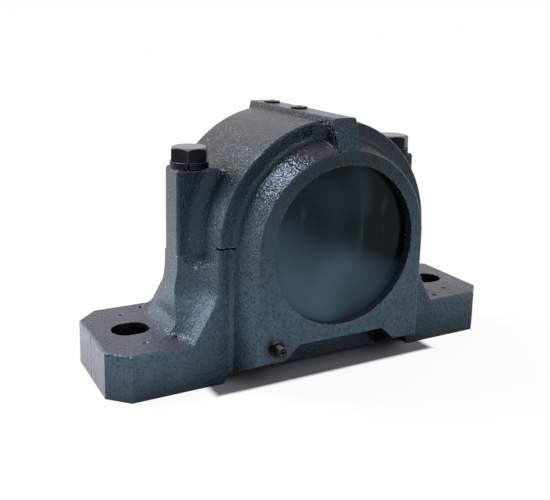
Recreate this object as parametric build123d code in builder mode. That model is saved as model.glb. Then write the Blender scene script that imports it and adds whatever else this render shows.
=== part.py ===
from build123d import *
from math import cos, radians, sqrt
import os

# A split plummer block: a two-piece cast housing bolted together round a
# self-aligning ball bearing, which grips its shaft with an adapter sleeve.
# Millimetres. X runs along the foot, Y is the shaft axis with the closed end
# at -Y, Z is up, and the origin is the middle of the mounting plane.

# ---- driving dimensions: housing -------------------------------------------
shaft_height = 95.0            # shaft axis above the mounting plane
foot_end_land = 14.0           # from the end of each slot to the end of the foot
foot_width = 90.0
foot_height = 32.0
foot_corner = 13.7             # 45 degree corners of the foot
foot_edge_round = 2.0
slot_spacing = 260.0
slot_width = 22.0
slot_length = 27.0
dimple_radius = 2.4            # drill dimples for optional locating pins
dimple_depth = 1.6
dimple_inset = 2.0             # outer dimples lie this far inside the slot centres
dimple_offset = 27.0           # and this far either side of the centre line
inner_dimple_inset = 20.0
inner_dimple_offset = 36.0

body_radius = 84.0             # outside of the cap, and half width of the base body
cap_overhang = 2.0             # the cap's rim stands this far proud of the base
rim_round = 1.5
pry_gap = 1.8                  # slot under the cap's rim for lifting it
pry_depth = 6.0
pry_length = 13.0
pry_inset = 4.5                # middle of a slot, inside the body radius

neck_projection = 22.3         # from the cap's rim to the outer face of each neck
neck_face_radius = 65.5
neck_root_radius = 73.0
neck_root_round = 4.0
neck_mouth_radius = 56.0
panel_face_floor = 20.0        # lower edge of the base's neck panel, at its face
panel_root_floor = 7.0         # and where it meets the body
arch_rise = 9.8                # raised middle of that lower edge
arch_top_half = 34.0
arch_bottom_half = 45.0

boss_projection = 16.0         # cap bolt bosses stand this far out of the body
boss_half_width = 12.0
boss_root_round = 10.0
boss_rise = 49.0               # above the shaft axis
boss_round = 2.5
ledge_drop = 11.0              # ledge where the pillars widen, below the shaft axis
ledge_height = 8.0
ledge_slope = 40.0             # from upright, degrees
pillar_knee_drop = 22.0        # where their outer faces start to spread
pillar_spread = 6.5            # from the boss's outer face to the pillar's foot
pillar_foot_round = 13.0       # sweep of the pillars into the foot
pillar_knee_round = 60.0
pillar_sweep_half = 27.0
scoop_radius = 38.0            # hollowed corners beside each pillar
scoop_foot_margin = 6.3        # its flat foot runs this far past the pillar's foot corner
scoop_knee_drop = 34.0         # where a scoop starts to close in, below the shaft axis
scoop_knee_round = 25.0
scoop_foot_round = 7.0

ridge_half_width = 9.0
ridge_rise = 86.7              # above the shaft axis
ridge_slope_length = 8.3       # run of its sloping ends
ridge_round = 1.5
web_round = 10.0               # hollow webs from the ridge's sides to the cap's rims
web_sink = 0.3                 # depth to which their edges run into those faces

relief_half_length = 76.0      # raised underside between the feet
relief_height = 6.5
core_depth = 30.0              # cored pockets under the pillars
core_half_width = 27.0
core_inner = 54.0
core_outer = 75.0
core_taper = 4.0
core_round = 4.0

# ---- driving dimensions: inside of the housing ------------------------------
seat_radius = 70.0
seat_width = 58.0
chamber_radius = 63.0
chamber_slope = 4.0
lip_radius = 53.0              # inner lip of each seal groove
groove_radius = 60.5
groove_width = 5.5
groove_inset = 7.3             # from the neck's face to the groove
lip_width = 3.5
groove_clearance = 0.25

# ---- driving dimensions: fasteners and plugs --------------------------------
bolt_x = 86.5
bolt_radius = 8.0
bolt_hole_radius = 8.75
bolt_thread_clearance = 0.15
bolt_engagement = 30.0
bolt_hole_runout = 6.0
bolt_head_height = 10.0
bolt_head_flats = 24.0
bolt_tip_chamfer = 1.5
bolt_crown_radius = 11.4       # flat of the head inside its turned chamfer
bolt_crown_drop = 1.4
bolt_turns = (4.0, 40.0)       # how each head came to rest, in degrees
washer_thickness = 4.0
washer_radius = 13.5
washer_bore_clearance = 0.3
washer_gap = 2.0
washer_turns = (-114.0, -100.0)
dowel_radius = 4.0
dowel_length = 24.0
dowel_x = 74.0
dowel_y = 37.0
dowel_clearance = 0.05
dowel_end_gap = 1.0
plug_radius = 5.0
plug_length = 9.0
plug_head_radius = 6.2
plug_head_height = 1.4
plug_socket_flats = 5.0
plug_socket_depth = 3.0
plug_clearance = 0.1
centre_plug_y = 0.0
rear_plug_y = 42.0
lube_hole_radius = 3.0
drain_x = -52.5
drain_z = 30.5
drain_collar_radius = 5.4
drain_collar_length = 3.0
drain_end_radius = 3.6
drain_projection = 9.0
drain_thread_radius = 4.0
drain_thread_length = 10.0
drain_socket_flats = 3.2
drain_socket_depth = 2.5

# ---- driving dimensions: bearing and adapter sleeve -------------------------
bearing_width = 26.0
ball_radius = 6.35
ball_row_y = 6.5
ball_pitch_radius = 55.5
balls_per_row = 16
ball_clearance = 0.12
seat_clearance = 0.04
race_land_radius = 51.0
ring_chamfer = 1.2
cage_half_thickness = 2.2
cage_half_width = 11.2
cage_pocket_clearance = 0.3
locating_ring_bore = 61.5
sleeve_bore_radius = 35.0
sleeve_small_radius = 40.0     # at the nut side of the inner ring
sleeve_taper = 1 / 24          # growth of the radius for each millimetre of length
sleeve_tail = 5.0              # past the inner ring at the thick end
sleeve_thread_end = 32.0       # thread end, from the centre plane
sleeve_slit = 4.0
taper_clearance = 0.04
nut_radius = 52.5
nut_width = 15.0
nut_slot_width = 10.0
nut_slot_depth = 4.0
nut_slots = 4
lock_washer_thickness = 1.75
lock_washer_radius = 47.5
lock_tab_reach = 55.5
lock_tab_width = 6.0
lock_tabs = 17
lock_bore_clearance = 0.2
lock_key_clearance = 0.2
lock_key_reach = 37.0          # inner end of the key that sits in the sleeve's slit
bent_tab_radius = 50.75        # outer face of the tab bent into the nut
bent_tab_length = 6.0
nut_thread_clearance = 0.1
nut_chamfer = 1.5
seal_lip_radius = 35.35
seal_lip_thickness = 1.6
seal_web_radius = 44.0
seal_lip_spread = 3.0
cover_dish_radius = 38.0
cover_dish_depth = 0.8

# ---- modelling margins -------------------------------------------------------
overlap = 5.0                  # joined forms run this far into each other
overcut = 1.0                  # and cuts this far past a face

# ---- sizes that follow --------------------------------------------------------
half_seat = seat_width / 2
half_bearing = bearing_width / 2
half_foot = foot_width / 2
half_cap = half_foot + cap_overhang
neck_face = half_cap + neck_projection
foot_length = slot_spacing + slot_length + 2 * foot_end_land
groove_end = neck_face - groove_inset
groove_start = groove_end - groove_width
chamber_end = groove_start - lip_width - chamber_slope
boss_top = shaft_height + boss_rise
boss_reach = body_radius + boss_projection
pillar_foot_reach = boss_reach + pillar_spread
ledge_top = shaft_height - ledge_drop
ridge_top = shaft_height + ridge_rise
ridge_half_length = neck_face - ridge_slope_length
slot_x = slot_spacing / 2
pillar_knee = shaft_height - pillar_knee_drop
pillar_lean = (pillar_foot_reach - boss_reach) / (pillar_knee - foot_height)
sweep_rise = 2 * pillar_foot_round
quarters = [(1, 1), (1, -1), (-1, 1), (-1, -1)]
plug_places = (centre_plug_y, rear_plug_y)
dowel_places = [(-dowel_x, -dowel_y), (dowel_x, dowel_y)]
under_head = boss_top + washer_thickness
cavity_reach = neck_face + overcut
shaft_axis = Axis((0, 0, shaft_height), (0, 1, 0))


def above_shaft(points):
    """Corners of a turned section, given as (place along the shaft, radius) pairs."""
    return [(y, shaft_height + r) for y, r in points]


# ---- cavity shared by both halves of the housing ------------------------------
with BuildPart() as cavity:
    with BuildSketch(Plane.YZ):
        with BuildLine():
            half = [(half_seat, seat_radius), (half_seat, chamber_radius),
                    (chamber_end, chamber_radius), (chamber_end + chamber_slope, lip_radius),
                    (groove_start, lip_radius), (groove_start, groove_radius),
                    (groove_end, groove_radius), (groove_end, neck_mouth_radius),
                    (cavity_reach, neck_mouth_radius), (cavity_reach, 0)]
            other_half = [(-y, r) for y, r in reversed(half)]
            Polyline(above_shaft(other_half + half), close=True)
        make_face()
    revolve(axis=shaft_axis)


def neck_half_width(reach):
    """Half width of the tapered neck at a distance from the centre plane."""
    draft = (neck_root_radius - neck_face_radius) / (neck_face - half_cap)
    return neck_face_radius + draft * (neck_face - reach)


def panel_floor(reach):
    """Height of the base panel's underside at a distance from the centre plane."""
    slope = (panel_face_floor - panel_root_floor) / (neck_face - half_foot)
    return panel_face_floor - slope * (neck_face - reach)


# ---- base ----------------------------------------------------------------------
# Scoops hollow the four corners of the body between its pillars and its ends.
# Each is turned about an upright axis and passes through the corner of the
# pillar and the corner of the body.
chord_x = boss_reach - body_radius
chord_y = half_foot - boss_half_width
half_chord = sqrt(chord_x**2 + chord_y**2) / 2
set_back = sqrt(scoop_radius**2 - half_chord**2) / (2 * half_chord)
scoop_x = (boss_reach + body_radius) / 2 + chord_y * set_back
scoop_y = (half_foot + boss_half_width) / 2 + chord_x * set_back
foot_corner_offset = sqrt((scoop_x - pillar_foot_reach)**2 + (half_foot - scoop_y)**2)
scoop_foot_radius = foot_corner_offset + scoop_foot_margin

with BuildPart() as corners:
    with BuildSketch(Plane.XZ.offset(-scoop_y)):
        with BuildLine():
            FilletPolyline((scoop_x, foot_height), (scoop_x - scoop_foot_radius, foot_height),
                           (scoop_x - scoop_radius, shaft_height - scoop_knee_drop),
                           (scoop_x - scoop_radius, shaft_height + overcut),
                           (scoop_x, shaft_height + overcut),
                           radius=[scoop_foot_round, scoop_knee_round, 0])
            Line((scoop_x, shaft_height + overcut), (scoop_x, foot_height))
        make_face()
    revolve(axis=Axis((scoop_x, scoop_y, 0), (0, 0, 1)))
    # above its ledge each pillar narrows to the width of the cap bolt boss
    with BuildSketch(Plane.XY.offset(ledge_top)) as boss_surround:
        with BuildLine():
            FilletPolyline((body_radius, foot_width), (body_radius, boss_half_width),
                           (boss_reach, boss_half_width), (boss_reach, 0),
                           radius=[boss_root_round, boss_round])
            Polyline((boss_reach, 0), (foot_length, 0), (foot_length, foot_width),
                     (body_radius, foot_width))
        make_face()
    extrude(amount=shaft_height + overcut - ledge_top)
    extrude(boss_surround.sketch, amount=-ledge_height, taper=ledge_slope)
    mirror(about=Plane.XZ)
    mirror(about=Plane.YZ)

with BuildPart() as base:
    with BuildSketch(Plane.XZ):
        with BuildLine():
            FilletPolyline((0, shaft_height), (boss_reach, shaft_height),
                           (boss_reach, pillar_knee), (pillar_foot_reach, foot_height),
                           (foot_length / 2, foot_height), (foot_length / 2, 0), (0, 0),
                           radius=[0, pillar_knee_round, 0, 0, 0])
            mirror(about=Plane.YZ)
        make_face()
    extrude(amount=half_foot, both=True)
    ends = base.edges().filter_by(Axis.Z).group_by(Axis.X)
    chamfer(ends[0] + ends[-1], length=foot_corner)
    # sweep of each pillar's outer face into the foot
    with BuildSketch(Plane.XZ):
        with BuildLine():
            far, high = pillar_foot_reach + sweep_rise, foot_height + sweep_rise
            near = pillar_foot_reach - pillar_lean * sweep_rise
            FilletPolyline((near, high), (pillar_foot_reach, foot_height), (far, foot_height),
                           radius=pillar_foot_round)
            Polyline((far, foot_height), (far, foot_height / 2),
                     (body_radius, foot_height / 2), (body_radius, high), (near, high))
        make_face()
        mirror(about=Plane.YZ)
    extrude(amount=pillar_sweep_half, both=True)
    add(corners.part, mode=Mode.SUBTRACT)

    # tapered neck panels, front and back
    for end in (1, -1):
        for reach in (half_foot - overlap, neck_face):
            with BuildSketch(Plane.XZ.offset(end * reach)):
                with BuildLine():
                    wide, floor = neck_half_width(reach), panel_floor(reach)
                    Polyline((-wide, floor), (wide, floor), (wide, shaft_height),
                             (-wide, shaft_height), close=True)
                make_face()
        loft(ruled=True)

    # cast edges: foot and body outline, neck panels and their roots
    foot_top = base.edges().filter_by_position(Axis.Z, foot_height, foot_height)
    far_ends = foot_top.filter_by(lambda e: abs(e.center().X) > slot_x + slot_length / 2)
    long_sides = foot_top.filter_by(lambda e: abs(e.center().Y) > half_foot - 0.1)
    fillet(far_ends + long_sides, radius=foot_edge_round)
    roots = [e for e in base.edges()
             if abs(abs(e.center().Y) - half_foot) < 0.1 and abs(e.center().X) < body_radius - overcut
             and e.length > shaft_height / 2 and e.center().Z > foot_height]
    fillet(roots, radius=neck_root_round)
    panel_rims = [e for e in base.edges()
                  if abs(abs(e.center().Y) - neck_face) < 0.1 and e.center().Z < shaft_height - overcut]
    fillet(panel_rims, radius=rim_round)

    # raised middle of each panel's lower edge, and the underside between the feet
    for end in (1, -1):
        with BuildSketch(Plane.XZ.offset(end * half_foot)):
            with BuildLine():
                arch_top = panel_face_floor + arch_rise
                half_arch = [(arch_top_half, arch_top), (arch_bottom_half, panel_face_floor),
                             (arch_bottom_half, -overcut)]
                Polyline([(-x, z) for x, z in reversed(half_arch)] + half_arch, close=True)
            make_face()
        extrude(amount=end * (neck_face - half_foot + overcut), mode=Mode.SUBTRACT)
    with BuildSketch(Plane.XZ):
        with BuildLine():
            Polyline((-relief_half_length - relief_height / 2, -overcut),
                     (-relief_half_length, relief_height), (relief_half_length, relief_height),
                     (relief_half_length + relief_height / 2, -overcut), close=True)
        make_face()
    extrude(amount=neck_face, both=True, mode=Mode.SUBTRACT)
    for hand in (1, -1):
        with BuildSketch():
            with Locations((hand * (core_inner + core_outer) / 2, 0)):
                RectangleRounded(core_outer - core_inner, 2 * core_half_width, core_round)
        extrude(amount=core_depth + relief_height, taper=core_taper, mode=Mode.SUBTRACT)

    add(cavity.part, mode=Mode.SUBTRACT)
    with BuildSketch():
        with Locations((-slot_x, 0), (slot_x, 0)):
            SlotOverall(slot_length, slot_width)
    extrude(amount=foot_height, mode=Mode.SUBTRACT)
    dimples = [(across * (slot_x - dimple_inset), along * dimple_offset, foot_height)
               for across, along in quarters]
    dimples += [(-slot_x + inner_dimple_inset, inner_dimple_offset, foot_height),
                (slot_x - inner_dimple_inset, -inner_dimple_offset, foot_height)]
    with Locations(*dimples):
        Cone(0, dimple_radius, dimple_depth, align=(Align.CENTER, Align.CENTER, Align.MAX),
             mode=Mode.SUBTRACT)
    with Locations((-bolt_x, 0, shaft_height), (bolt_x, 0, shaft_height)):
        Cylinder(bolt_radius + bolt_thread_clearance, bolt_engagement + bolt_hole_runout,
                 align=(Align.CENTER, Align.CENTER, Align.MAX), mode=Mode.SUBTRACT)
    with Locations(*[(x, y, shaft_height) for x, y in dowel_places]):
        Cylinder(dowel_radius + dowel_clearance, dowel_length / 2 + dowel_end_gap,
                 align=(Align.CENTER, Align.CENTER, Align.MAX), mode=Mode.SUBTRACT)
    drain_face = Plane((drain_x, -neck_face, drain_z), x_dir=(1, 0, 0), z_dir=(0, -1, 0))
    with Locations(drain_face):
        Cylinder(drain_thread_radius + plug_clearance, drain_thread_length + overcut,
                 align=(Align.CENTER, Align.CENTER, Align.MAX), mode=Mode.SUBTRACT)

# ---- webs between the ridge and the cap's rims ----------------------------------
web_floor = shaft_height + neck_face_radius - overlap
with BuildPart() as webs:
    with BuildSketch(Plane.XY.offset(web_floor)):
        with BuildLine():
            near_x, near_y = ridge_half_width - web_sink, half_cap - web_sink
            CenterArc((near_x + web_round, near_y + web_round), web_round, 180, 90)
            Polyline((near_x, near_y + web_round), (near_x - overlap, near_y + web_round),
                     (near_x - overlap, near_y - overlap),
                     (near_x + web_round, near_y - overlap), (near_x + web_round, near_y))
        make_face()
        mirror(about=Plane.YZ)
        mirror(about=Plane.XZ)
    extrude(amount=ridge_top - web_floor)
    with Locations(Location((0, 0, shaft_height), (90, 0, 0))):
        Cylinder(body_radius - rim_round, 2 * neck_face, mode=Mode.INTERSECT)

# ---- cap -----------------------------------------------------------------------
with BuildPart() as cap:
    with BuildSketch(Plane.XZ):
        with Locations((0, shaft_height)):
            Circle(body_radius)
    extrude(amount=half_cap, both=True)
    with BuildSketch(Plane.XY.offset(shaft_height)):
        Rectangle(2 * boss_reach, 2 * boss_half_width)
    extrude(amount=boss_top - shaft_height)
    with BuildSketch(Plane.YZ):
        with BuildLine():
            inner = half_cap - overlap
            Polyline(above_shaft([(inner, 0), (inner, neck_half_width(inner)),
                                  (neck_face, neck_face_radius), (neck_face, 0)]), close=True)
        make_face()
    revolve(axis=shaft_axis)
    mirror(about=Plane.XZ)
    split(bisect_by=Plane.XY.offset(shaft_height), keep=Keep.TOP)

    # cast edges: boss roots, neck roots, rims, boss corners
    off_parting = [e for e in cap.edges() if e.center().Z > shaft_height + overcut]
    boss_roots = [e for e in off_parting if 1 < abs(e.center().Y) < boss_half_width + 0.1
                  and body_radius / sqrt(2) < abs(e.center().X) < body_radius]
    fillet(boss_roots, radius=boss_root_round)
    off_parting = [e for e in cap.edges() if e.center().Z > shaft_height + overcut]
    boss_rims = [e for e in off_parting if abs(e.center().X) > body_radius + 2
                 and e.geom_type == GeomType.LINE]
    fillet(boss_rims, radius=boss_round)
    circles = cap.edges().filter_by(GeomType.CIRCLE)
    neck_roots = [e for e in circles if abs(abs(e.center().Y) - half_cap) < 0.1
                  and e.radius < body_radius - overcut]
    fillet(neck_roots, radius=neck_root_round)
    circles = cap.edges().filter_by(GeomType.CIRCLE)
    cap_rims = [e for e in circles if abs(abs(e.center().Y) - half_cap) < 0.1
                and e.radius > body_radius - overcut]
    neck_rims = [e for e in circles if abs(abs(e.center().Y) - neck_face) < 0.1]
    fillet(cap_rims + neck_rims, radius=rim_round)

    # ridge along the top
    with BuildSketch(Plane.YZ):
        with BuildLine():
            ridge_toe = shaft_height + neck_face_radius
            half_ridge = [(ridge_half_length, ridge_top), (neck_face, ridge_toe),
                          (neck_face - overlap, ridge_toe),
                          (neck_face - overlap, shaft_height + neck_mouth_radius)]
            Polyline([(-y, z) for y, z in reversed(half_ridge)] + half_ridge, close=True)
        make_face()
    extrude(amount=ridge_half_width, both=True)
    ridge_edges = [e for e in cap.edges() if e.center().Z > ridge_top - 0.1]
    fillet(ridge_edges, radius=ridge_round)
    add(webs.part)

    # slots under the rim, front and back, for lifting the cap
    for across, along in quarters:
        with Locations((across * (body_radius - pry_inset), along * half_cap, shaft_height)):
            Box(pry_length, 2 * pry_depth, pry_gap, mode=Mode.SUBTRACT,
                align=(Align.CENTER, Align.CENTER, Align.MIN))

    add(cavity.part, mode=Mode.SUBTRACT)
    with Locations((-bolt_x, 0, shaft_height), (bolt_x, 0, shaft_height)):
        Cylinder(bolt_hole_radius, boss_top - shaft_height,
                 align=(Align.CENTER, Align.CENTER, Align.MIN), mode=Mode.SUBTRACT)
    with Locations(*[(x, y, shaft_height) for x, y in dowel_places]):
        Cylinder(dowel_radius + dowel_clearance, dowel_length / 2 + dowel_end_gap,
                 align=(Align.CENTER, Align.CENTER, Align.MIN), mode=Mode.SUBTRACT)
    for y in plug_places:
        with Locations((0, y, ridge_top)):
            Cylinder(plug_radius + plug_clearance, plug_length + overcut,
                     align=(Align.CENTER, Align.CENTER, Align.MAX), mode=Mode.SUBTRACT)
            Cylinder(lube_hole_radius, ridge_top - shaft_height - chamber_radius + overcut,
                     align=(Align.CENTER, Align.CENTER, Align.MAX), mode=Mode.SUBTRACT)

# ---- cap bolts, spring washers, dowels -------------------------------------------
with BuildPart() as bolt:
    with BuildSketch():
        RegularPolygon(bolt_head_flats / 2, 6, major_radius=False)
    extrude(amount=bolt_head_height)
    with BuildSketch(Plane.XZ):
        with BuildLine():
            corner_radius = bolt_head_flats / 2 / cos(radians(30))
            Polyline((0, 0), (corner_radius, 0),
                     (corner_radius, bolt_head_height - bolt_crown_drop),
                     (bolt_crown_radius, bolt_head_height), (0, bolt_head_height), close=True)
        make_face()
    revolve(axis=Axis.Z, mode=Mode.INTERSECT)
    Cylinder(bolt_radius, under_head - shaft_height + bolt_engagement,
             align=(Align.CENTER, Align.CENTER, Align.MAX))
    chamfer(bolt.edges().group_by(Axis.Z)[0], length=bolt_tip_chamfer)

with BuildPart() as cap_bolts:
    for side, turn in zip((-1, 1), bolt_turns):
        with Locations(Location((side * bolt_x, 0, under_head), (0, 0, turn))):
            add(bolt.part)

with BuildPart() as spring_washers:
    for side, turn in zip((-1, 1), washer_turns):
        with BuildSketch(Plane((side * bolt_x, 0, boss_top)).rotated((0, 0, turn))):
            Circle(washer_radius)
            Circle(bolt_radius + washer_bore_clearance, mode=Mode.SUBTRACT)
            with Locations((washer_radius, 0)):
                Rectangle(washer_radius, washer_gap, mode=Mode.SUBTRACT)
        extrude(amount=washer_thickness)

with BuildPart() as dowel_pins:
    with Locations(*[(x, y, shaft_height) for x, y in dowel_places]):
        Cylinder(dowel_radius, dowel_length)

# ---- plugs --------------------------------------------------------------------------
with BuildPart() as relubrication_plugs:
    for y in plug_places:
        with Locations((0, y, ridge_top)):
            Cylinder(plug_radius, plug_length, align=(Align.CENTER, Align.CENTER, Align.MAX))
            Cylinder(plug_head_radius, plug_head_height,
                     align=(Align.CENTER, Align.CENTER, Align.MIN))
        with BuildSketch(Plane((0, y, ridge_top + plug_head_height))):
            RegularPolygon(plug_socket_flats / 2, 6, major_radius=False)
        extrude(amount=-plug_socket_depth, mode=Mode.SUBTRACT)

with BuildPart(drain_face) as drain_plug:
    Cylinder(drain_thread_radius, drain_thread_length,
             align=(Align.CENTER, Align.CENTER, Align.MAX))
    Cylinder(drain_collar_radius, drain_collar_length,
             align=(Align.CENTER, Align.CENTER, Align.MIN))
    Cylinder(drain_end_radius, drain_projection, align=(Align.CENTER, Align.CENTER, Align.MIN))
    with BuildSketch(drain_face.offset(drain_projection)):
        RegularPolygon(drain_socket_flats / 2, 6, major_radius=False)
    extrude(amount=-drain_socket_depth, mode=Mode.SUBTRACT)


def turned(section):
    """A ring turned about the shaft axis, given as (place along the shaft, radius) pairs."""
    with BuildPart() as ring:
        with BuildSketch(Plane.YZ):
            with BuildLine():
                Polyline(above_shaft(section), close=True)
            make_face()
        revolve(axis=shaft_axis)
    return ring.part


def across_shaft(reach):
    """Plane square to the shaft at a place along it, facing the closed end."""
    return Plane((0, reach, shaft_height), x_dir=(1, 0, 0), z_dir=(0, -1, 0))


# ---- end cover and seal --------------------------------------------------------------
cover_start = groove_start + groove_clearance
cover_end = groove_end - groove_clearance
cover_radius = groove_radius - groove_clearance
with BuildPart() as front_end_cover:
    add(turned([(-cover_start, 0), (-cover_start, cover_radius), (-cover_end, cover_radius),
                (-cover_end, cover_dish_radius),
                (-cover_end + cover_dish_depth, cover_dish_radius - 2 * cover_dish_depth),
                (-cover_end + cover_dish_depth, 0)]))

seal_middle = (groove_start + groove_end) / 2
half_lip = seal_lip_thickness / 2
seal_section = [(seal_middle + y, r) for y, r in (
    (cover_end - seal_middle, cover_radius), (cover_end - seal_middle, seal_web_radius),
    (seal_lip_spread + half_lip, seal_lip_radius), (seal_lip_spread - half_lip, seal_lip_radius),
    (0, seal_web_radius - seal_lip_spread),
    (half_lip - seal_lip_spread, seal_lip_radius), (-seal_lip_spread - half_lip, seal_lip_radius),
    (cover_start - seal_middle, seal_web_radius), (cover_start - seal_middle, cover_radius))]
with BuildPart() as rear_seal_upper:
    add(turned(seal_section))
    split(bisect_by=Plane.XY.offset(shaft_height), keep=Keep.TOP)
with BuildPart() as rear_seal_lower:
    add(turned(seal_section))
    split(bisect_by=Plane.XY.offset(shaft_height), keep=Keep.BOTTOM)

# ---- bearing --------------------------------------------------------------------------
ring_radius = seat_radius - seat_clearance
with BuildPart() as locating_ring_front:
    add(turned([(-half_seat, locating_ring_bore), (-half_seat, ring_radius),
                (-half_bearing, ring_radius), (-half_bearing, locating_ring_bore)]))
with BuildPart() as locating_ring_rear:
    add(turned([(half_seat, locating_ring_bore), (half_seat, ring_radius),
                (half_bearing, ring_radius), (half_bearing, locating_ring_bore)]))

race_radius = sqrt(ball_pitch_radius**2 + ball_row_y**2) + ball_radius + ball_clearance
with BuildPart() as bearing_outer_ring:
    add(turned([(-half_bearing, 0), (-half_bearing, ring_radius - ring_chamfer),
                (ring_chamfer - half_bearing, ring_radius),
                (half_bearing - ring_chamfer, ring_radius),
                (half_bearing, ring_radius - ring_chamfer), (half_bearing, 0)]))
    with Locations((0, 0, shaft_height)):
        Sphere(race_radius, mode=Mode.SUBTRACT)


def sleeve_radius(reach):
    """Outside of the tapered sleeve at a place along the shaft."""
    return sleeve_small_radius + sleeve_taper * (reach + half_bearing)


with BuildPart() as bearing_inner_ring:
    add(turned([(-half_bearing, sleeve_radius(-half_bearing) + taper_clearance),
                (-half_bearing, race_land_radius), (half_bearing, race_land_radius),
                (half_bearing, sleeve_radius(half_bearing) + taper_clearance)]))
    with Locations(across_shaft(-ball_row_y), across_shaft(ball_row_y)):
        Torus(ball_pitch_radius, ball_radius + ball_clearance, mode=Mode.SUBTRACT)

half_pitch = 180 / balls_per_row
cage_inner = ball_pitch_radius - cage_half_thickness
cage_outer = ball_pitch_radius + cage_half_thickness
with BuildPart() as bearing_cage:
    add(turned([(-cage_half_width, cage_inner), (-cage_half_width, cage_outer),
                (cage_half_width, cage_outer), (cage_half_width, cage_inner)]))
    for row, start in ((-ball_row_y, 0), (ball_row_y, half_pitch)):
        with Locations(across_shaft(row)):
            with PolarLocations(ball_pitch_radius, balls_per_row, start_angle=start):
                Cylinder(ball_radius + cage_pocket_clearance, 3 * cage_half_thickness,
                         rotation=(0, 90, 0), mode=Mode.SUBTRACT)

with BuildPart(across_shaft(-ball_row_y)) as balls_front_row:
    with PolarLocations(ball_pitch_radius, balls_per_row):
        Sphere(ball_radius)
with BuildPart(across_shaft(ball_row_y)) as balls_rear_row:
    with PolarLocations(ball_pitch_radius, balls_per_row, start_angle=half_pitch):
        Sphere(ball_radius)

# ---- adapter sleeve, lock washer, lock nut ---------------------------------------------
with BuildPart() as adapter_sleeve:
    sleeve_end = half_bearing + sleeve_tail
    add(turned([(-sleeve_thread_end, sleeve_bore_radius), (-sleeve_thread_end, sleeve_small_radius),
                (-half_bearing, sleeve_small_radius), (sleeve_end, sleeve_radius(sleeve_end)),
                (sleeve_end, sleeve_bore_radius)]))
    with Locations((0, -sleeve_thread_end, shaft_height)):
        Box(sleeve_slit, sleeve_thread_end + sleeve_end, seat_radius,
            align=(Align.CENTER, Align.MIN, Align.MAX), mode=Mode.SUBTRACT)

tab_angles = [90 + 360 * n / lock_tabs for n in range(1, lock_tabs)]
with BuildPart() as lock_washer:
    with BuildSketch(across_shaft(-half_bearing)):
        Circle(lock_washer_radius)
        for angle in tab_angles:
            with PolarLocations(lock_tab_reach / 2, 1, start_angle=angle):
                Rectangle(lock_tab_reach, lock_tab_width)
        with PolarLocations(bent_tab_radius / 2, 1, start_angle=90):
            Rectangle(bent_tab_radius, lock_tab_width)
        Circle(sleeve_small_radius + lock_bore_clearance, mode=Mode.SUBTRACT)
        with PolarLocations((lock_key_reach + lock_washer_radius) / 2, 1, start_angle=-90):
            Rectangle(lock_washer_radius - lock_key_reach, sleeve_slit - 2 * lock_key_clearance)
    extrude(amount=lock_washer_thickness)
    with Locations((0, -half_bearing, shaft_height + bent_tab_radius)):
        Box(lock_tab_width, lock_washer_thickness + bent_tab_length, lock_washer_thickness,
            align=(Align.CENTER, Align.MAX, Align.MAX))

nut_face = half_bearing + lock_washer_thickness
with BuildPart() as lock_nut:
    nut_bore = sleeve_small_radius + nut_thread_clearance
    add(turned([(-nut_face, nut_bore), (-nut_face, nut_radius),
                (nut_chamfer - nut_face - nut_width, nut_radius),
                (-nut_face - nut_width, nut_radius - nut_chamfer),
                (-nut_face - nut_width, nut_bore)]))
    with Locations(across_shaft(-nut_face)):
        with PolarLocations(nut_radius, nut_slots):
            Box(2 * nut_slot_depth, nut_slot_width, nut_width,
                align=(Align.CENTER, Align.CENTER, Align.MIN), mode=Mode.SUBTRACT)

# ---- one file for each node ---------------------------------------------------------------
base.part.label = "base"
cap.part.label = "cap"
cap_bolts.part.label = "cap_bolts"
spring_washers.part.label = "spring_washers"
dowel_pins.part.label = "dowel_pins"
relubrication_plugs.part.label = "relubrication_plugs"
drain_plug.part.label = "drain_plug"
front_end_cover.part.label = "front_end_cover"
rear_seal_upper.part.label = "rear_seal_upper"
rear_seal_lower.part.label = "rear_seal_lower"
locating_ring_front.part.label = "locating_ring_front"
locating_ring_rear.part.label = "locating_ring_rear"
bearing_outer_ring.part.label = "bearing_outer_ring"
bearing_inner_ring.part.label = "bearing_inner_ring"
bearing_cage.part.label = "bearing_cage"
balls_front_row.part.label = "balls_front_row"
balls_rear_row.part.label = "balls_rear_row"
adapter_sleeve.part.label = "adapter_sleeve"
lock_washer.part.label = "lock_washer"
lock_nut.part.label = "lock_nut"

os.makedirs("parts", exist_ok=True)
export_step(base.part, "parts/base.step")
export_step(cap.part, "parts/cap.step")
export_step(cap_bolts.part, "parts/cap_bolts.step")
export_step(spring_washers.part, "parts/spring_washers.step")
export_step(dowel_pins.part, "parts/dowel_pins.step")
export_step(relubrication_plugs.part, "parts/relubrication_plugs.step")
export_step(drain_plug.part, "parts/drain_plug.step")
export_step(front_end_cover.part, "parts/front_end_cover.step")
export_step(rear_seal_upper.part, "parts/rear_seal_upper.step")
export_step(rear_seal_lower.part, "parts/rear_seal_lower.step")
export_step(locating_ring_front.part, "parts/locating_ring_front.step")
export_step(locating_ring_rear.part, "parts/locating_ring_rear.step")
export_step(bearing_outer_ring.part, "parts/bearing_outer_ring.step")
export_step(bearing_inner_ring.part, "parts/bearing_inner_ring.step")
export_step(bearing_cage.part, "parts/bearing_cage.step")
export_step(balls_front_row.part, "parts/balls_front_row.step")
export_step(balls_rear_row.part, "parts/balls_rear_row.step")
export_step(adapter_sleeve.part, "parts/adapter_sleeve.step")
export_step(lock_washer.part, "parts/lock_washer.step")
export_step(lock_nut.part, "parts/lock_nut.step")
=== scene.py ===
"""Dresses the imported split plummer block.

Cast, machined and blackened finishes, the pressed end cover, the camera and the studio.
"""
import math

import bpy
from mathutils import Matrix, Vector, noise


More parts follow.
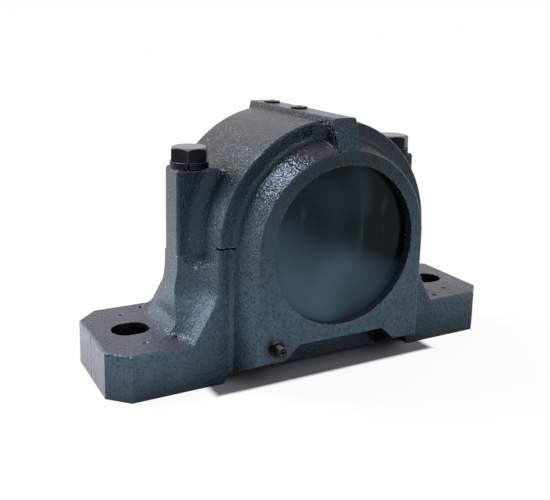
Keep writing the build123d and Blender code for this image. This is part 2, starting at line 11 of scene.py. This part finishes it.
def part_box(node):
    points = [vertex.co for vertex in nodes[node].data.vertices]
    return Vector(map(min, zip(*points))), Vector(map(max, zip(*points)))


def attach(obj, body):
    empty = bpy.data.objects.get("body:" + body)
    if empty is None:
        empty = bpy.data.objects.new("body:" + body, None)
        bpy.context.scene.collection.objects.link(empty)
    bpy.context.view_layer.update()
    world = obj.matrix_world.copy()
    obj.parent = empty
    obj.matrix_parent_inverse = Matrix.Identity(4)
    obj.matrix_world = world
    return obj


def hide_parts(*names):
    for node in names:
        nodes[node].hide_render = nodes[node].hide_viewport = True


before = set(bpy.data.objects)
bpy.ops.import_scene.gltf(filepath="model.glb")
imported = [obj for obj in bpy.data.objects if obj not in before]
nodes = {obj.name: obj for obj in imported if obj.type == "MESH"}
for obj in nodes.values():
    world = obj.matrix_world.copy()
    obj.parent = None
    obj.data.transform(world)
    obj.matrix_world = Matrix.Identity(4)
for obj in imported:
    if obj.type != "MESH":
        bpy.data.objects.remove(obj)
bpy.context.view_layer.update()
scene = bpy.context.scene


# ---- node helpers ------------------------------------------------------------
class Shader:
    """A material with a Principled shader and short ways to add and join nodes."""

    def __init__(self, name, metallic, roughness, specular=0.5, tint=(1.0, 1.0, 1.0)):
        self.material = bpy.data.materials.new(name)
        self.material.use_nodes = True
        self.tree = self.material.node_tree
        self.surface = self.tree.nodes["Principled BSDF"]
        self.surface.inputs["Metallic"].default_value = metallic
        self.surface.inputs["Roughness"].default_value = roughness
        self.surface.inputs["Specular IOR Level"].default_value = specular
        self.surface.inputs["Specular Tint"].default_value = (*tint, 1.0)
        self.place = self.tree.nodes.new("ShaderNodeTexCoord").outputs["Object"]

    def link(self, source, target):
        self.tree.links.new(source, target)

    def noise(self, scale, detail=2.0, roughness=0.5, distortion=0.0, place=None):
        node = self.tree.nodes.new("ShaderNodeTexNoise")
        node.inputs["Scale"].default_value = scale
        node.inputs["Detail"].default_value = detail
        node.inputs["Roughness"].default_value = roughness
        node.inputs["Distortion"].default_value = distortion
        self.link(place or self.place, node.inputs["Vector"])
        return node.outputs["Fac"]

    def cells(self, scale, feature="F1", smooth=None):
        node = self.tree.nodes.new("ShaderNodeTexVoronoi")
        node.feature = feature
        node.inputs["Scale"].default_value = scale
        if smooth is not None:
            node.inputs["Smoothness"].default_value = smooth
        self.link(self.place, node.inputs["Vector"])
        return node.outputs["Distance"]

    def stretched(self, scale):
        node = self.tree.nodes.new("ShaderNodeMapping")
        node.inputs["Scale"].default_value = scale
        self.link(self.place, node.inputs["Vector"])
        return node.outputs["Vector"]

    def ramp(self, value, low, high, start=0.0, end=1.0):
        node = self.tree.nodes.new("ShaderNodeMapRange")
        node.inputs["From Min"].default_value = low
        node.inputs["From Max"].default_value = high
        node.inputs["To Min"].default_value = start
        node.inputs["To Max"].default_value = end
        self.link(value, node.inputs["Value"])
        return node.outputs["Result"]

    def maths(self, operation, a, b):
        node = self.tree.nodes.new("ShaderNodeMath")
        node.operation = operation
        for value, socket in ((a, node.inputs[0]), (b, node.inputs[1])):
            if isinstance(value, (int, float)):
                socket.default_value = value
            else:
                self.link(value, socket)
        return node.outputs[0]

    def mix(self, amount, a, b):
        node = self.tree.nodes.new("ShaderNodeMix")
        node.data_type = "RGBA"
        self.link(amount, node.inputs["Factor"])
        for value, socket in ((a, node.inputs["A"]), (b, node.inputs["B"])):
            if isinstance(value, tuple):
                socket.default_value = (*value, 1.0)
            else:
                self.link(value, socket)
        return node.outputs["Result"]

    def facing_up(self, low, high):
        node = self.tree.nodes.new("ShaderNodeNewGeometry")
        split = self.tree.nodes.new("ShaderNodeSeparateXYZ")
        self.link(node.outputs["Normal"], split.inputs[0])
        return self.ramp(split.outputs["Z"], low, high)

    def axis(self, name):
        split = self.tree.nodes.new("ShaderNodeSeparateXYZ")
        self.link(self.place, split.inputs[0])
        return split.outputs[name]

    def rounded(self, radius):
        """Normals that run smoothly over edges of this radius in metres."""
        node = self.tree.nodes.new("ShaderNodeBevel")
        node.samples = 4
        node.inputs["Radius"].default_value = radius
        return node.outputs["Normal"]

    def edges(self, rounded, low, high):
        """1 where the rounded normal leaves the true one, so along edges."""
        true = self.tree.nodes.new("ShaderNodeNewGeometry").outputs["Normal"]
        dot = self.tree.nodes.new("ShaderNodeVectorMath")
        dot.operation = "DOT_PRODUCT"
        self.link(rounded, dot.inputs[0])
        self.link(true, dot.inputs[1])
        return self.ramp(dot.outputs["Value"], 1.0 - low, 1.0 - high)

    def painted_shade_hollows(self, reach, low, high):
        """0 deep in corners and under ledges, 1 on open faces; the mask for painted shade."""
        node = self.tree.nodes.new("ShaderNodeAmbientOcclusion")
        node.samples = 6
        node.inputs["Distance"].default_value = reach
        return self.ramp(node.outputs["AO"], low, high)

    def colour(self, value):
        if isinstance(value, tuple):
            self.surface.inputs["Base Color"].default_value = (*value, 1.0)
        else:
            self.link(value, self.surface.inputs["Base Color"])

    def rough(self, value):
        self.link(value, self.surface.inputs["Roughness"])

    def bump(self, *layers, normal=None):
        """Each layer is (height, depth in metres)."""
        for height, depth in layers:
            node = self.tree.nodes.new("ShaderNodeBump")
            node.inputs["Strength"].default_value = 1.0
            node.inputs["Distance"].default_value = depth
            self.link(height, node.inputs["Height"])
            if normal is not None:
                self.link(normal, node.inputs["Normal"])
            normal = node.outputs["Normal"]
        self.link(normal, self.surface.inputs["Normal"])


# ---- finishes ------------------------------------------------------------------
SEAM_Y = 0.0027                # moulding seam on the ends of the foot


def cast_paint(name):
    """Dark blue-black enamel over a grainy casting, with painted light and shade; dusty, with a painted
    sheen, where it faces up.
    """
    s = Shader(name, 0.0, 0.2, 0.4, (0.56, 0.78, 1.0))
    grain = s.noise(540.0, 2.0, 0.6)
    pits = s.cells(600.0, "SMOOTH_F1", 0.25)
    patches = s.noise(34.0, 4.0, 0.6)
    # Painted light and shade: the colour runs from a lighter blue-grey low down, painted bounce light off
    # the floor, to near black high up, painted shade.
    dark = s.mix(s.ramp(patches, 0.35, 0.68), (0.001, 0.002, 0.003), (0.003, 0.006, 0.009))
    low = s.mix(s.ramp(patches, 0.3, 0.7), (0.029, 0.053, 0.072), (0.05, 0.084, 0.108))
    height = s.ramp(s.maths("ADD", s.axis("Z"), s.maths("MULTIPLY", patches, 0.04)), 0.075, 0.165)
    body = s.mix(height, low, dark)
    # Painted shade: the colour goes near black in corners, recesses and under ledges.
    body = s.mix(s.painted_shade_hollows(0.045, 0.4, 0.85), (0.001, 0.002, 0.003), body)
    body = s.mix(s.ramp(grain, 0.52, 0.34, 0.0, 0.65), body, (0.003, 0.007, 0.01))
    # Upward faces get a pale plum mix: partly dust, partly a painted sheen of the light from above.
    dust_and_top_sheen = s.maths("MULTIPLY", s.facing_up(0.78, 0.99), s.ramp(patches, 0.25, 0.7, 0.35, 0.9))
    body = s.mix(dust_and_top_sheen, body, (0.034, 0.023, 0.032))
    soft = s.rounded(0.0009)
    # Edges lighter: partly paint worn off, partly a painted highlight along them.
    edge_wear_and_highlight = s.maths("MULTIPLY", s.edges(soft, 0.04, 0.25), s.ramp(s.noise(420.0, 3.0), 0.5, 0.62))
    body = s.mix(edge_wear_and_highlight, body, (0.24, 0.25, 0.28))
    seam = s.ramp(s.maths("ABSOLUTE", s.maths("SUBTRACT", s.axis("Y"), SEAM_Y), 0.0), 0.0014, 0.0006)
    seam = s.maths("MULTIPLY", seam, s.ramp(s.maths("ABSOLUTE", s.axis("X"), 0.0), 0.1565, 0.157))
    s.colour(s.mix(seam, body, (0.001, 0.002, 0.003)))
    s.rough(s.maths("ADD", s.ramp(patches, 0.3, 0.7, 0.09, 0.15), s.maths("MULTIPLY", dust_and_top_sheen, 0.2)))
    s.bump((s.noise(110.0, 2.0), 0.00015), (pits, 0.00025), (grain, 0.0007), (seam, 0.0005), normal=soft)
    return s.material


def black_oxide(name):
    """Blackened steel, lighter on its corners from handling wear and a painted sheen."""
    s = Shader(name, 0.0, 0.3, 0.1)
    grain = s.noise(900.0, 2.0)
    patches = s.noise(120.0, 3.0)
    body = s.mix(s.ramp(patches, 0.35, 0.7), (0.002, 0.003, 0.004), (0.006, 0.008, 0.01))
    # Upward faces get a pale mix: partly dust, partly a painted sheen of the light from above.
    dust_and_top_sheen = s.maths("MULTIPLY", s.facing_up(0.7, 0.98), s.ramp(patches, 0.25, 0.6, 0.5, 1.0))
    body = s.mix(dust_and_top_sheen, body, (0.19, 0.16, 0.18))
    soft = s.rounded(0.0005)
    # Corners lighter: partly worn oxide, partly a painted sheen.
    edge_wear_and_highlight = s.maths("MULTIPLY", s.edges(soft, 0.03, 0.2), s.ramp(patches, 0.42, 0.6))
    s.colour(s.mix(edge_wear_and_highlight, body, (0.2, 0.19, 0.2)))
    s.rough(s.ramp(patches, 0.3, 0.7, 0.24, 0.42))
    s.bump((grain, 0.00008), normal=soft)
    return s.material


def cover_paint(name):
    """Smooth pressed cover under the same enamel, with a few scuffs and painted reflections and shade."""
    s = Shader(name, 0.0, 0.2, 0.14, (0.6, 0.86, 1.0))
    fine = s.noise(1500.0, 2.0)
    waves = s.noise(11.0, 2.0, 0.4, 0.5)
    scuffs = s.noise(1.0, 4.0, 0.65, 0.4, place=s.stretched((90.0, 30.0, 22.0)))
    # Painted shade: the colour is darker towards the right and the top.
    painted_shade_right_top = s.maths("ADD", s.ramp(s.axis("X"), -0.06, 0.05), s.ramp(s.axis("Z"), -0.06, 0.06))
    painted_reflection = s.maths("ADD", waves, s.maths("MULTIPLY", painted_shade_right_top, -0.2))
    # Painted reflections: the broad mottling from near black to blue-grey stands in for reflections off the
    # buckled plate.
    body = s.mix(s.ramp(painted_reflection, 0.2, 0.54), (0.0, 0.001, 0.002), (0.046, 0.083, 0.11))
    s.colour(s.mix(s.ramp(scuffs, 0.6, 0.78, 0.0, 0.25), body, (0.06, 0.09, 0.11)))
    s.rough(s.ramp(waves, 0.3, 0.7, 0.16, 0.3))
    s.bump((fine, 0.00003))
    return s.material


def bare_steel(name, light, dark, roughness, depth=0.00002, line=(4.0, 4.0, 900.0)):
    s = Shader(name, 1.0, roughness)
    lines = s.noise(1.0, 3.0, 0.6, place=s.stretched(line))
    patches = s.noise(60.0, 3.0)
    s.colour(s.mix(s.ramp(patches, 0.3, 0.7), dark, light))
    s.rough(s.ramp(lines, 0.25, 0.75, roughness - 0.08, roughness + 0.12))
    s.bump((lines, depth))
    return s.material


def seal_rubber(name):
    s = Shader(name, 0.0, 0.55, 0.4)
    fine = s.noise(1300.0, 3.0)
    patches = s.noise(70.0, 3.0)
    s.colour(s.mix(s.ramp(patches, 0.35, 0.7), (0.008, 0.008, 0.009), (0.022, 0.022, 0.023)))
    s.rough(s.ramp(patches, 0.3, 0.7, 0.45, 0.68))
    s.bump((fine, 0.00005))
    return s.material


def dress(material, *names):
    for name in names:
        slots = nodes[name].data.materials
        slots.clear()
        slots.append(material)


# ---- finishes on the CAD nodes ----------------------------------------------------
casting = cast_paint("cast_enamel")
dress(casting, "base", "cap")
dress(black_oxide("black_oxide"), "cap_bolts", "spring_washers", "relubrication_plugs", "drain_plug")
dress(seal_rubber("seal_rubber"), "rear_seal_upper", "rear_seal_lower")
dress(bare_steel("ground_steel", (0.62, 0.62, 0.64), (0.5, 0.5, 0.52), 0.24),
      "bearing_outer_ring", "bearing_inner_ring", "dowel_pins")
dress(bare_steel("machined_iron", (0.3, 0.3, 0.31), (0.2, 0.2, 0.21), 0.42, 0.00004),
      "locating_ring_front", "locating_ring_rear")
dress(bare_steel("polished_balls", (0.8, 0.8, 0.82), (0.72, 0.72, 0.74), 0.12, 0.000004),
      "balls_front_row", "balls_rear_row")
dress(bare_steel("cage_steel", (0.5, 0.49, 0.47), (0.38, 0.37, 0.36), 0.36, 0.00003), "bearing_cage")
dress(bare_steel("turned_steel", (0.46, 0.46, 0.48), (0.33, 0.33, 0.35), 0.32, 0.00004,
                 (4.0, 1800.0, 4.0)), "adapter_sleeve", "lock_washer", "lock_nut")

# ---- pressed cover in the closed end -------------------------------------------------
cover_low, cover_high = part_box("front_end_cover")
cover_radius = (cover_high.x - cover_low.x) / 2
cover_middle = (cover_low + cover_high) / 2
RINGS, SPOKES = 44, 180
FLAT_RIM = 0.9                 # share of the radius inside which the plate is buckled
BUCKLE = 0.0011                # depth of the buckles, metres


def buckle(x, z):
    """Depth of the plate's face at a place on it, from -1 to 1."""
    broad = noise.noise(Vector((x * 17.0 + 2.3, 0.7, z * 15.0 - 1.1)))
    small = noise.noise(Vector((x * 42.0 - 5.0, 3.1, z * 38.0)))
    return broad + 0.3 * small


def cover_side(y_rim, verts):
    """Rings of points over one face of the plate, from its centre to its rim."""
    start = len(verts)
    verts.append((0.0, y_rim + BUCKLE * buckle(0.0, 0.0), 0.0))
    for ring in range(1, RINGS + 1):
        share = ring / RINGS
        hold = min(1.0, (1.0 - share) / (1.0 - FLAT_RIM))
        hold = hold * hold * (3.0 - 2.0 * hold)
        for spoke in range(SPOKES):
            turn = 2 * math.pi * spoke / SPOKES
            x = cover_radius * share * math.cos(turn)
            z = cover_radius * share * math.sin(turn)
            verts.append((x, y_rim + BUCKLE * hold * buckle(x, z), z))
    return start


cover_verts, cover_faces = [], []
starts = [cover_side(cover_low.y - cover_middle.y, cover_verts),
          cover_side(cover_high.y - cover_middle.y, cover_verts)]
for side, first in enumerate(starts):
    for spoke in range(SPOKES):
        after = (spoke + 1) % SPOKES
        fan = [first, first + 1 + spoke, first + 1 + after]
        cover_faces.append(fan if side == 0 else fan[::-1])
        for ring in range(RINGS - 1):
            inner, outer = first + 1 + ring * SPOKES, first + 1 + (ring + 1) * SPOKES
            quad = [inner + spoke, outer + spoke, outer + after, inner + after]
            cover_faces.append(quad if side == 0 else quad[::-1])
rims = [first + 1 + (RINGS - 1) * SPOKES for first in starts]
for spoke in range(SPOKES):
    after = (spoke + 1) % SPOKES
    cover_faces.append([rims[0] + spoke, rims[1] + spoke, rims[1] + after, rims[0] + after])
cover_mesh = bpy.data.meshes.new("pressed_cover")
cover_mesh.from_pydata(cover_verts, [], cover_faces)
cover_mesh.shade_smooth()
for face in list(cover_mesh.polygons)[-SPOKES:]:
    face.use_smooth = False
cover = bpy.data.objects.new("pressed_cover", cover_mesh)
cover.location = cover_middle
cover.data.materials.append(cover_paint("cover_enamel"))
scene.collection.objects.link(cover)
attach(cover, "housing")
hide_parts("front_end_cover")

# ---- studio ------------------------------------------------------------------------


def seen_directly(tree):
    """1 for camera, glossy and transmission rays, 0 for the rays that carry light."""
    path = tree.nodes.new("ShaderNodeLightPath")
    total = path.outputs["Is Camera Ray"]
    for name in ("Is Glossy Ray", "Is Transmission Ray"):
        node = tree.nodes.new("ShaderNodeMath")
        node.operation = "MAXIMUM"
        tree.links.new(total, node.inputs[0])
        tree.links.new(path.outputs[name], node.inputs[1])
        total = node.outputs[0]
    return total


world = bpy.data.worlds.new("studio")
scene.world = world
world.use_nodes = True
tree = world.node_tree
background = tree.nodes["Background"]
background.inputs["Color"].default_value = (1.0, 1.0, 1.0, 1.0)
level = tree.nodes.new("ShaderNodeMapRange")
level.inputs["To Min"].default_value = 0.5
level.inputs["To Max"].default_value = 1.0
tree.links.new(seen_directly(tree), level.inputs["Value"])
tree.links.new(level.outputs["Result"], background.inputs["Strength"])


FLOOR_SHADE_X, FLOOR_SHADE_Y = 0.09, 0.0595   # half sizes of the floor under the block, painted dark as a shadow


def floor_material():
    """Pale floor that shows the shadow by the object, with a painted shadow under the block, and runs out to
    white.
    """
    s = Shader("studio_floor", 0.0, 0.6, 0.1)
    along = s.maths("MULTIPLY", s.maths("ABSOLUTE", s.axis("X"), 0.0), 1.0 / FLOOR_SHADE_X)
    deep = s.maths("MULTIPLY", s.maths("ABSOLUTE", s.axis("Y"), 0.0), 1.0 / FLOOR_SHADE_Y)
    reach = s.maths("MAXIMUM", along, deep)
    pale = s.mix(s.noise(3.0), (0.8, 0.8, 0.81), (0.84, 0.84, 0.85))
    # Painted shadow: the floor colour is dark grey in the box under the block.
    s.colour(s.mix(s.ramp(reach, 0.98, 1.04), (0.22, 0.22, 0.24), pale))
    path = s.tree.nodes.new("ShaderNodeLightPath")
    near = s.maths("MULTIPLY", s.ramp(reach, 0.98, 1.04, 0.0, 0.92), path.outputs["Is Camera Ray"])
    away = s.maths("MAXIMUM", near, s.maths("MULTIPLY", s.ramp(reach, 2.0, 4.0), seen_directly(s.tree)))
    white = s.tree.nodes.new("ShaderNodeEmission")
    blend = s.tree.nodes.new("ShaderNodeMixShader")
    s.link(away, blend.inputs["Fac"])
    s.link(s.surface.outputs["BSDF"], blend.inputs[1])
    s.link(white.outputs["Emission"], blend.inputs[2])
    s.link(blend.outputs["Shader"], s.tree.nodes["Material Output"].inputs["Surface"])
    return s.material


FLOOR_REACH = 6.0              # half the side of the floor
FLOOR_Z = -0.0002              # just under the mounting plane
floor_mesh = bpy.data.meshes.new("floor")
corners = ((-1, -1), (1, -1), (1, 1), (-1, 1))
floor_mesh.from_pydata([(x * FLOOR_REACH, y * FLOOR_REACH, FLOOR_Z) for x, y in corners], [], [(0, 1, 2, 3)])
floor = bpy.data.objects.new("floor", floor_mesh)
floor.data.materials.append(floor_material())
scene.collection.objects.link(floor)


def soft_light(name, place, target, size, watts, colour):
    data = bpy.data.lights.new(name, "AREA")
    data.shape = "RECTANGLE"
    data.size, data.size_y = size
    data.energy = watts
    data.color = colour
    lamp = bpy.data.objects.new(name, data)
    lamp.location = place
    lamp.rotation_mode = "QUATERNION"
    lamp.rotation_quaternion = (Vector(target) - Vector(place)).to_track_quat("-Z", "Y")
    scene.collection.objects.link(lamp)


middle = (0.0, 0.0, 0.09)
soft_light("key", (-0.71, 0.58, 1.28), middle, (0.48, 0.38), 28.0, (1.0, 0.92, 0.98))
soft_light("left", (-1.0, 0.8, 0.35), middle, (0.8, 0.5), 7.0, (0.95, 0.98, 1.0))
soft_light("fill", (0.1, -0.95, 0.9), middle, (0.9, 0.5), 5.2, (0.97, 0.99, 1.0))

# ---- camera at the photograph's angle -------------------------------------------------
AZIMUTH, ELEVATION, ROLL = (math.radians(v) for v in (-28.93, 11.49, 1.51))
LENS = 49.883                  # focal length, millimetres
SHIFT = (-0.0038, -0.1324)     # off-centre framing, as shares of the width
AIM = Vector((0.08066, 0.17633, 0.09))
DISTANCE = 0.7689
back = Vector((math.sin(AZIMUTH) * math.cos(ELEVATION), -math.cos(AZIMUTH) * math.cos(ELEVATION),
               math.sin(ELEVATION)))
right = (-back).cross(Vector((0, 0, 1))).normalized()
up = right.cross(-back)
across = right * math.cos(ROLL) + up * math.sin(ROLL)
upright = up * math.cos(ROLL) - right * math.sin(ROLL)
camera_data = bpy.data.cameras.new("camera")
camera_data.sensor_width = 36.0
camera_data.lens = LENS
camera_data.shift_x, camera_data.shift_y = SHIFT
camera = bpy.data.objects.new("camera", camera_data)
place = AIM + back * DISTANCE
camera.matrix_world = Matrix((
    (across.x, upright.x, back.x, place.x),
    (across.y, upright.y, back.y, place.y),
    (across.z, upright.z, back.z, place.z),
    (0, 0, 0, 1)))
scene.collection.objects.link(camera)
scene.camera = camera
scene.view_settings.view_transform = "Standard"
